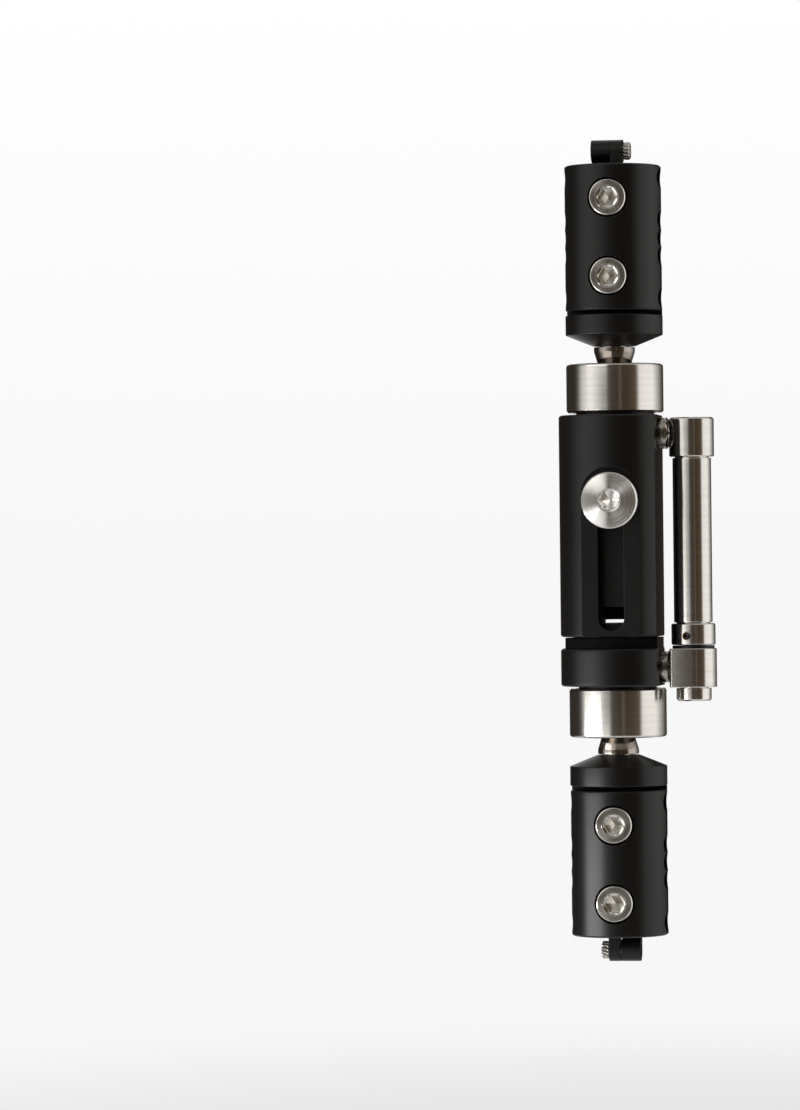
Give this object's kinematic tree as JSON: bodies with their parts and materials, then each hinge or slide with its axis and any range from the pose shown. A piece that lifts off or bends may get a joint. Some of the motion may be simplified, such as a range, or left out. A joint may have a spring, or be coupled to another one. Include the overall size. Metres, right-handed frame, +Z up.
{
  "type": "external fixator",
  "caption": "Straight external fixator: two hinged pin clamps on lockable ball joints, a black telescoping body with a lock screw, and a steel side unit that sets its length.",
  "frame": {"origin": "middle of the upper clamp's central pin seat, on the fixator's long axis", "axes": "+Z up the long axis, +X towards the side distraction unit, -Y the front, where the clamp bolts and the body lock screw are"},
  "size_m": [0.0453, 0.0338, 0.2382],
  "materials": {
    "black_anodised_aluminium": "satin black anodised",
    "turned_stainless_steel": "fine turned",
    "bright_screw_steel": "bright machined",
    "bearing_bronze": "machined"
  },
  "bodies": {
    "upper_clamp": {"upper_clamp_body": "black_anodised_aluminium", "upper_hinge_screw": "bright_screw_steel"},
    "upper_cover": {"upper_clamp_cover": "black_anodised_aluminium"},
    "upper_outer_bolt": {"upper_outer_bolt": "bright_screw_steel", "upper_outer_washer": "turned_stainless_steel"},
    "upper_inner_bolt": {"upper_inner_bolt": "bright_screw_steel", "upper_inner_washer": "turned_stainless_steel"},
    "upper_stud": {"upper_ball_stud": "turned_stainless_steel"},
    "upper_cup": {"upper_ball_cup": "bearing_bronze"},
    "sleeve": {"sleeve_body": "black_anodised_aluminium", "upper_ball_collar": "turned_stainless_steel", "unit_cap": "turned_stainless_steel", "unit_tube": "turned_stainless_steel", "unit_collar": "turned_stainless_steel", "grub_screw": "bright_screw_steel", "drive_nut": "bearing_bronze", "upper_coupling_pin": "turned_stainless_steel"},
    "upper_cam": {"upper_locking_cam": "bright_screw_steel"},
    "slider": {"slider_bar": "black_anodised_aluminium", "lower_ball_collar": "turned_stainless_steel", "guide_key": "turned_stainless_steel", "unit_block": "turned_stainless_steel", "lower_coupling_pin": "turned_stainless_steel", "retaining_ring": "bright_screw_steel"},
    "lock_screw": {"body_lock_screw": "bright_screw_steel"},
    "drive_screw": {"drive_screw": "turned_stainless_steel"},
    "lower_cam": {"lower_locking_cam": "bright_screw_steel"},
    "lower_cup": {"lower_ball_cup": "bearing_bronze"},
    "lower_stud": {"lower_ball_stud": "turned_stainless_steel"},
    "lower_clamp": {"lower_clamp_body": "black_anodised_aluminium", "lower_hinge_screw": "bright_screw_steel"},
    "lower_cover": {"lower_clamp_cover": "black_anodised_aluminium"},
    "lower_outer_bolt": {"lower_outer_bolt": "bright_screw_steel", "lower_outer_washer": "turned_stainless_steel"},
    "lower_inner_bolt": {"lower_inner_bolt": "bright_screw_steel", "lower_inner_washer": "turned_stainless_steel"}
  },
  "joints": [
    {"name": "upper_cover_close", "type": "hinge", "parent": "upper_clamp", "child": "upper_cover", "pos_m": [0, 0, 0.0255], "axis": [1, 0, 0], "range_deg": [0, 2]},
    {"name": "upper_outer_bolt_turn", "type": "hinge", "parent": "upper_clamp", "child": "upper_outer_bolt", "pos_m": [0, -0.0143, 0.0113], "axis": [0, -1, 0], "range_deg": [0, 270]},
    {"name": "upper_inner_bolt_turn", "type": "hinge", "parent": "upper_clamp", "child": "upper_inner_bolt", "pos_m": [0, -0.0143, -0.0113], "axis": [0, -1, 0], "range_deg": [0, 270]},
    {"name": "lower_cover_close", "type": "hinge", "parent": "lower_clamp", "child": "lower_cover", "pos_m": [0, 0, -0.2061], "axis": [-1, 0, 0], "range_deg": [0, 2]},
    {"name": "lower_outer_bolt_turn", "type": "hinge", "parent": "lower_clamp", "child": "lower_outer_bolt", "pos_m": [0, -0.0143, -0.1919], "axis": [0, -1, 0], "range_deg": [0, 270]},
    {"name": "lower_inner_bolt_turn", "type": "hinge", "parent": "lower_clamp", "child": "lower_inner_bolt", "pos_m": [0, -0.0143, -0.1693], "axis": [0, -1, 0], "range_deg": [0, 270]},
    {"name": "upper_ball_spin", "type": "hinge", "parent": "upper_clamp", "child": "upper_stud", "pos_m": [0, 0, -0.0433], "axis": [0, 0, 1], "range_deg": [-180, 180]},
    {"name": "upper_ball_tilt", "type": "hinge", "parent": "upper_stud", "child": "upper_cup", "pos_m": [0, 0, -0.0433], "axis": [0, 1, 0], "range_deg": [-18, 18]},
    {"name": "upper_ball_azimuth", "type": "hinge", "parent": "upper_cup", "child": "sleeve", "pos_m": [0, 0, -0.0433], "axis": [0, 0, 1], "range_deg": [-90, 90]},
    {"name": "upper_cam_turn", "type": "hinge", "parent": "sleeve", "child": "upper_cam", "pos_m": [0.0155, 0, -0.0565], "axis": [1, 0, 0], "range_deg": [0, 150]},
    {"name": "telescope", "type": "slide", "parent": "sleeve", "child": "slider", "axis": [0, 0, -1], "range_m": [0, 0.03]},
    {"name": "lock_screw_turn", "type": "hinge", "parent": "slider", "child": "lock_screw", "pos_m": [0, -0.0172, -0.0759], "axis": [0, -1, 0], "range_deg": [0, 180]},
    {"name": "drive_screw_turn", "type": "hinge", "parent": "slider", "child": "drive_screw", "pos_m": [0.0222, 0, -0.134], "axis": [0, 0, -1], "range_deg": [0, 10801]},
    {"name": "lower_cam_turn", "type": "hinge", "parent": "slider", "child": "lower_cam", "pos_m": [0.0155, 0, -0.1241], "axis": [1, 0, 0], "range_deg": [0, 150]},
    {"name": "lower_ball_azimuth", "type": "hinge", "parent": "slider", "child": "lower_cup", "pos_m": [0, 0, -0.1373], "axis": [0, 0, 1], "range_deg": [-90, 90]},
    {"name": "lower_ball_tilt", "type": "hinge", "parent": "lower_cup", "child": "lower_stud", "pos_m": [0, 0, -0.1373], "axis": [0, 1, 0], "range_deg": [-18, 18]},
    {"name": "lower_ball_spin", "type": "hinge", "parent": "lower_stud", "child": "lower_clamp", "pos_m": [0, 0, -0.1373], "axis": [0, 0, 1], "range_deg": [-180, 180]}
  ],
  "couplings": [
    {"joint": "drive_screw_turn", "follows": "telescope", "rad_per_m": 6283.2}
  ]
}
